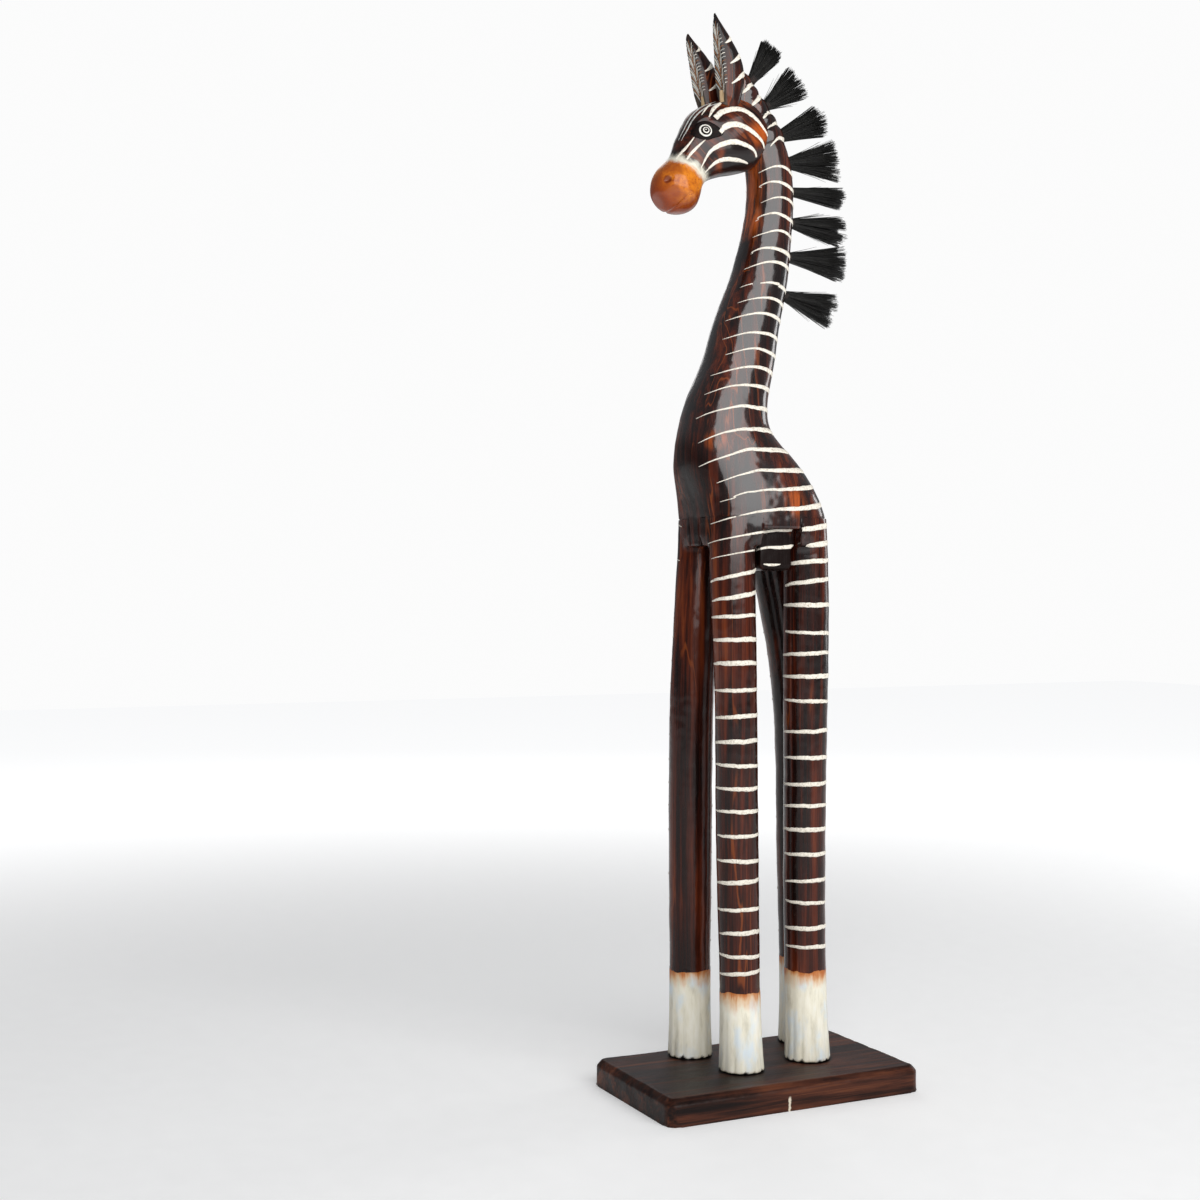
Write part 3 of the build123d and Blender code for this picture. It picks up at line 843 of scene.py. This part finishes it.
for name, (heights, climbs, (start_angle, end_angle)) in LEG_STRIPES.items():
    strokes = bmesh.new()
    surface = surface_of(leg_meshes[name])
    outer = 1 if "right" in name else -1
    points = points_of(leg_meshes[name])
    for number, level in enumerate(heights):
        centre = middle_at(points, min(level, 480) * MM, 2 * MM)
        first = start_angle + chance.uniform(-10, 10)
        last = end_angle + chance.uniform(-10, 10)
        tilt = chance.uniform(-1.3, 1.3) + climbs[min(number, 3)]
        bow = chance.uniform(-0.8, 1.0)
        rays = []
        for step in range(61):
            t = step / 60
            angle = math.radians(first + (last - first) * t)
            outward = Vector((math.sin(angle), outer * math.cos(angle), 0))
            height = (level + tilt * (t - 0.5) * 2 + bow * (1 - (2 * t - 1) ** 2)) * MM
            height += 0.7 * MM * wobble(step * 0.11, number + 3)
            rays.append((Vector((centre[0], centre[1], height)) + outward * 60 * MM, -outward))
        path = traced(surface, rays)
        widths = taper(len(path), chance.uniform(3.5, 4.6) * MM, chance.uniform(0.3, 0.6), 0.6,
                       chance.uniform(0.4, 0.7))
        add_stroke(strokes, surface, path, widths, seed=number * 2.3 + outer)
    paint_piece("stripes_" + name, strokes, stripe_paint)

# ---- head strokes
# points along and up the head and width, in mm, then how wide each end is and where it is fullest
HEAD_STROKES = (
    (((21, 32), (10, 32.5), (-4, 27.5), (-12, 19), (-17, 6), (-18.5, -6), (-18.5, -13)), 5.6, 0.9, 0.3, 0.18),
    (((26, 19), (18, 20.5), (7, 16.5), (-1, 8), (-6.5, -3), (-9.5, -12), (-9, -18)), 5.4, 0.8, 0.35, 0.2),
    (((60, 3), (45, 10), (32, 9.5), (18, 4), (7, -7), (3, -14), (2.5, -20)), 4.6, 0.15, 0.4, 0.55),
    (((58, -3), (44, -1), (34, -4), (22, -12), (13, -20)), 4.2, 0.2, 0.4, 0.55),
    (((25, 36), (14, 39.5), (3, 39.5), (-5, 38)), 4.0, 0.25, 0.3, 0.5),
    (((28, 41), (17, 43.5), (6, 44)), 2.0, 0.3, 0.2, 0.5),
    (((73, 22.5), (62, 25), (48, 29)), 2.6, 0.5, 0.25, 0.4),
    (((67, 17), (55, 20), (42, 21.5)), 2.6, 0.5, 0.25, 0.4),
)
face_strokes = bmesh.new()
for side in SIDES:
    for number, (line, width, start, end, fullest) in enumerate(HEAD_STROKES):
        spots = smooth_line([Vector(point) for point in line], 1.1)
        path = [hit for hit in (head_spot(*spot, side) for spot in spots) if hit]
        widths = taper(len(path), width * MM, start, end, fullest)
        add_stroke(face_strokes, head_surface, path, widths, seed=number * 3.1 + side)
paint_piece("strokes_face", face_strokes, stripe_paint)

forehead = bmesh.new()
for number, offset in enumerate((-14, -7, 7, 14)):
    line = [CHEEK + HEAD_ALONG * a * MM + HEAD_UP * 60 * MM + Vector((0, offset * (1 - a / 140) * MM, 0))
            for a in (56, 40, 26, 12, 2)]
    path = traced(head_surface, [(spot, -HEAD_UP) for spot in smooth_line(line, 1.2 * MM)])
    add_stroke(forehead, head_surface, path, taper(len(path), 2.1 * MM, 0.2, 0.3), seed=80 + number)
paint_piece("strokes_forehead", forehead, grey_paint)

# ---- eyes
ALMOND = ((48, 32), (43, 36), (36, 37.5), (30, 35), (26.5, 30), (24, 23), (23.5, 17), (27.5, 16),
          (34, 18), (40, 20), (45.5, 25))


def circle(middle, radius, count=24):
    return [(middle[0] + radius * math.cos(2 * math.pi * i / count),
             middle[1] + radius * math.sin(2 * math.pi * i / count)) for i in range(count)]


def closed_curve(corners, count=6):
    rounded = []
    size = len(corners)
    for i in range(size):
        rounded += catmull_rom(*(Vector(corners[(i + k - 1) % size]) for k in range(4)), count)
    return rounded


black = bmesh.new()
white = bmesh.new()
# colour, outline, height of the foot and doming, mm, from the outside in
EYE_PATCHES = ((black, closed_curve(ALMOND), 0.03, 0.17),
               (white, circle(EYE, 5.8), 0.22, 0.40),
               (black, circle(EYE, 4.3), 0.64, 0.25),
               (white, circle(EYE, 2.7), 0.91, 0.20),
               (black, circle(EYE, 1.8), 1.13, 0.20),
               # the last, small white dot in the pupil is a painted highlight
               (white, circle((36.2, 28.4), 0.55, 14), 1.34, 0.15))
for side in SIDES:
    def on_head(spot, side=side):
        return head_spot(spot[0], spot[1], side)

    for colour, outline, stand, lift in EYE_PATCHES:
        add_patch(colour, outline, on_head, stand * MM, lift * MM)
paint_piece("eye_surrounds", black, black_paint)
paint_piece("eye_rings", white, eye_white)

# ---- ears
pale = bmesh.new()
grey = bmesh.new()
orange = bmesh.new()
BARB_ROWS = 17
for mesh in ear_meshes.values():
    surface = surface_of(mesh)
    points = points_of(mesh)

    def face_edges(height):
        ring = points[np.abs(points[:, 2] - height) < 1.5 * MM]
        return ring[:, 1].min(), ring[:, 1].max()

    def from_front(spots):
        return traced(surface, [(Vector((-0.2, y, z)), Vector((1, 0, 0))) for y, z in spots])

    # the vein up the middle
    low = points[:, 2].min() + 12 * MM
    high = points[:, 2].max() - 7 * MM
    levels = [low + (high - low) * step / 49 for step in range(50)]
    path = from_front([(sum(face_edges(z)) / 2, z) for z in levels])
    add_stroke(orange, surface, path, taper(len(path), 1.6 * MM, 0.3, 0.3), seed=4)
    # barbs that rise from the vein to the rim
    for row in range(BARB_ROWS):
        z = low + (high - 13 * MM - low) * row / (BARB_ROWS - 1)
        middle = sum(face_edges(z)) / 2
        for flank, climb in ((0, 9 * MM), (1, 13 * MM)):
            reach = 0.86 * (face_edges(z + climb)[flank] - middle)
            spots = []
            for step in range(9):
                t = step / 8
                spots.append((middle + reach * (0.12 + 0.88 * t), z + (1 - (1 - t) ** 1.4) * climb))
            path = from_front(spots)
            target = (pale, grey, orange, grey)[(row + flank) % 4]
            add_stroke(target, surface, path, taper(len(path), 1.15 * MM, 0.6, 0.35), seed=row)
    # strokes round the back
    for number, (height, rise) in enumerate(((972, 6), (954, 8), (936, 9))):
        path = round_back(surface, points, height, rise, 118, 41)
        add_stroke(pale, surface, path, taper(len(path), 5.6 * MM, 0.2, 0.2), seed=number)
paint_piece("ear_strokes_pale", pale, stripe_paint)
paint_piece("ear_strokes_grey", grey, grey_paint)
paint_piece("ear_strokes_orange", orange, orange_paint)

# ---- tail marks
tail_marks = bmesh.new()
tail_surface = surface_of(tail_mesh)
for number, height in enumerate((528, 513, 498, 483, 468, 453)):
    path = round_back(tail_surface, points_of(tail_mesh), height, 0, 80, 31)
    add_stroke(tail_marks, tail_surface, path, taper(len(path), 3.4 * MM, 0.3, 0.3), seed=number)
paint_piece("stripes_tail", tail_marks, stripe_paint)

# ---- mane
# root x and z, degrees above level, length, half spread of the fan; lengths in mm
TUFTS = ((5, 944, 54, 44, 12.5), (20, 922, 37.5, 49, 15.5), (30, 893, 24.5, 61, 14.5),
         (41, 871, 9, 62, 19.5), (46.5, 845, -1, 62.5, 9.5), (46.5, 815, -3, 63, 13.5),
         (43, 782, -2, 67, 16), (39.5, 745.5, -12.5, 59, 15.5))
BRISTLES = 640
ROOT_RADIUS = 4.6 * MM
TUFT_HALF_THICKNESS = 7.4 * MM
BINDING_RADIUS = 3.9 * MM
CORD_RADIUS = 0.65 * MM
SIDEWAYS = Vector((0, 1, 0))
bristle = bristle_material()
cord = plain_material("binding_cord", (1500, 1500, 300), 3.0, (0.006, 0.004, 0.004), (0.03, 0.016, 0.012),
                      0.7, 0.4 * MM)


def add_bristle(vertices, faces, root, bend, end, width):
    """One hair: three sides, five rings, drawn to a fine end along a bent line."""
    base = len(vertices)
    rings = 5
    for ring in range(rings):
        t = ring / (rings - 1)
        centre = root.lerp(bend, t).lerp(bend.lerp(end, t), t)
        forward = (bend.lerp(end, t) - root.lerp(bend, t)).normalized()
        u = forward.cross(SIDEWAYS).normalized()
        v = forward.cross(u)
        radius = width * (1 - 0.6 * t * t) / 2
        for corner in range(3):
            angle = corner * 2 * math.pi / 3
            vertices.append(centre + (u * math.cos(angle) + v * math.sin(angle)) * radius)
    for ring in range(rings - 1):
        for corner in range(3):
            a = base + ring * 3 + corner
            b = base + ring * 3 + (corner + 1) % 3
            faces.append((a, b, b + 3, a + 3))
    faces.append((base + 2, base + 1, base))
    top = base + (rings - 1) * 3
    faces.append((top, top + 1, top + 2))


for number, (x, z, rise, length, spread) in enumerate(TUFTS, start=1):
    forward = Vector((math.cos(math.radians(rise)), 0, math.sin(math.radians(rise))))
    upward = Vector((-forward.z, 0, forward.x))
    root = Vector((x * MM, MID_Y, z * MM))
    vertices = []
    faces = []
    clumps = [(chance.uniform(-1, 1), chance.uniform(-1, 1), chance.uniform(0.95, 1.03)) for _ in range(16)]
    for _ in range(BRISTLES):
        radius = ROOT_RADIUS * math.sqrt(chance.random())
        angle = chance.uniform(0, 2 * math.pi)
        u = radius * math.cos(angle)
        v = radius * math.sin(angle)
        own = (u / ROOT_RADIUS * 1.05, v / ROOT_RADIUS * 1.05)
        clump = min(clumps, key=lambda c: (c[0] - own[0]) ** 2 + (c[1] - own[1]) ** 2)
        pull = chance.uniform(0.25, 0.75)
        fan, thick = (max(-1.0, min(1.0, own[k] + (clump[k] - own[k]) * pull + chance.gauss(0, 0.10)))
                      for k in (0, 1))
        reach = length * MM * clump[2] * (1 - 0.04 * fan * fan) * chance.uniform(0.95, 1.0)
        if chance.random() < 0.08:
            reach *= chance.uniform(0.6, 0.95)
        start = root - forward * 3 * MM + upward * u * 0.75 + SIDEWAYS * v * 0.75
        end = root + forward * reach + upward * fan * spread * 1.08 * MM
        end += SIDEWAYS * thick * TUFT_HALF_THICKNESS
        bend = root + forward * reach * 0.42 + upward * (fan * spread * 0.36 * MM + u * 0.6)
        bend += SIDEWAYS * (thick * 2.6 * MM + v * 0.6)
        add_bristle(vertices, faces, start, bend, end, chance.uniform(0.5, 0.85) * MM)
    mesh = bpy.data.meshes.new(f"bristles_{number}")
    mesh.from_pydata(vertices, [], faces)
    piece(f"bristles_{number}", mesh, bristle, [f"mane_tuft_{number}"])
    # the tarred cord wound five times where the bundle leaves the wood
    wrap = bmesh.new()
    previous = None
    for step in range(101):
        turn = 2 * math.pi * step / 20
        outward = upward * math.cos(turn) + SIDEWAYS * math.sin(turn)
        centre = root + forward * (-1 + 6 * step / 100) * MM + outward * BINDING_RADIUS
        ring = []
        for corner in range(6):
            angle = corner * math.pi / 3
            rim = outward * math.cos(angle) + forward * math.sin(angle)
            ring.append(wrap.verts.new(centre + rim * CORD_RADIUS))
        if previous:
            add_band(wrap, previous, ring)
        else:
            wrap.faces.new(ring[::-1])
        previous = ring
    wrap.faces.new(previous)
    paint_piece(f"binding_{number}", wrap, cord)

# ---- CAD nodes that stay showing
bare = plain_material("bare_dowel", (500, 500, 30), 4.0, (0.42, 0.27, 0.13), (0.66, 0.48, 0.28), 0.6,
                      0.3 * MM)
zinc = plain_material("zinc_screw", (700, 700, 90), 3.0, (0.42, 0.41, 0.38), (0.62, 0.60, 0.56), 0.38,
                      0.1 * MM, metallic=1.0)
for name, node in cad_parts.items():
    if not node.hide_render:
        node.data.materials.clear()
        node.data.materials.append(zinc if "screw" in name else bare)

# ---- floor, light, view
FLOOR_FADE = 2.6
floor_mesh = bpy.data.meshes.new("floor")
floor_mesh.from_pydata([(-6, -6, 0), (6, -6, 0), (6, 6, 0), (-6, 6, 0)], [], [(0, 1, 2, 3)])
floor = placed("floor", floor_mesh)
graph = Graph("pale_floor")
speckle = graph.noise((40, 40, 40), 2.0)
pale_floor = graph.ramp(speckle, (0.3, (0.86, 0.86, 0.855)), (0.7, (0.89, 0.89, 0.885)))
floor_mesh.materials.append(graph.finish(pale_floor, 0.85, specular=0.1))
# painted light: the floor glows, more strongly away from the statue, until it meets the white of the
# background
away = graph.near((0, 0, 0), FLOOR_FADE)
graph.put(graph.shader.inputs["Emission Strength"], graph.ramp(away, (0.0, (0.745,) * 3), (1.0, (0.22,) * 3)))
graph.shader.inputs["Emission Color"].default_value = (1, 1, 1, 1)


def panel(name, place, aim, width, height, power):
    data = bpy.data.lights.new(name, "AREA")
    data.shape = "RECTANGLE"
    data.size = width
    data.size_y = height
    data.energy = power
    lamp = placed(name, data)
    lamp.location = place
    lamp.rotation_euler = (Vector(aim) - Vector(place)).to_track_quat("-Z", "Y").to_euler()


panel("window", (-0.15, -2.12, 1.5), (0, 0, 0.9), 3.1, 1.9, 64)
panel("rim_right", (1.9, 0.25, 0.75), (0, 0, 0.6), 0.5, 0.9, 5)
panel("back_soft", (1.0, 2.3, 2.0), (0, 0, 0.6), 1.8, 1.4, 12)

world = bpy.data.worlds.new("studio")
world.use_nodes = True
tree = world.node_tree
rays = tree.nodes.new("ShaderNodeLightPath")
blend = tree.nodes.new("ShaderNodeMix")
blend.data_type = "RGBA"
tree.links.new(rays.outputs["Is Camera Ray"], blend.inputs["Factor"])
blend.inputs[6].default_value = (0.21, 0.215, 0.225, 1)
blend.inputs[7].default_value = (0.97, 0.97, 0.97, 1)
tree.links.new(blend.outputs[2], tree.nodes["Background"].inputs["Color"])
bpy.context.scene.world = world
bpy.context.scene.view_settings.view_transform = "Standard"

camera_data = bpy.data.cameras.new("view")
camera_data.sensor_width = 36
camera_data.lens = 50.96
camera_data.dof.use_dof = False
camera = placed("view", camera_data)
camera.location = (-0.8143, -1.3686, 0.455)
camera.rotation_euler = (math.radians(90), 0, math.radians(-25.52))
bpy.context.scene.camera = camera
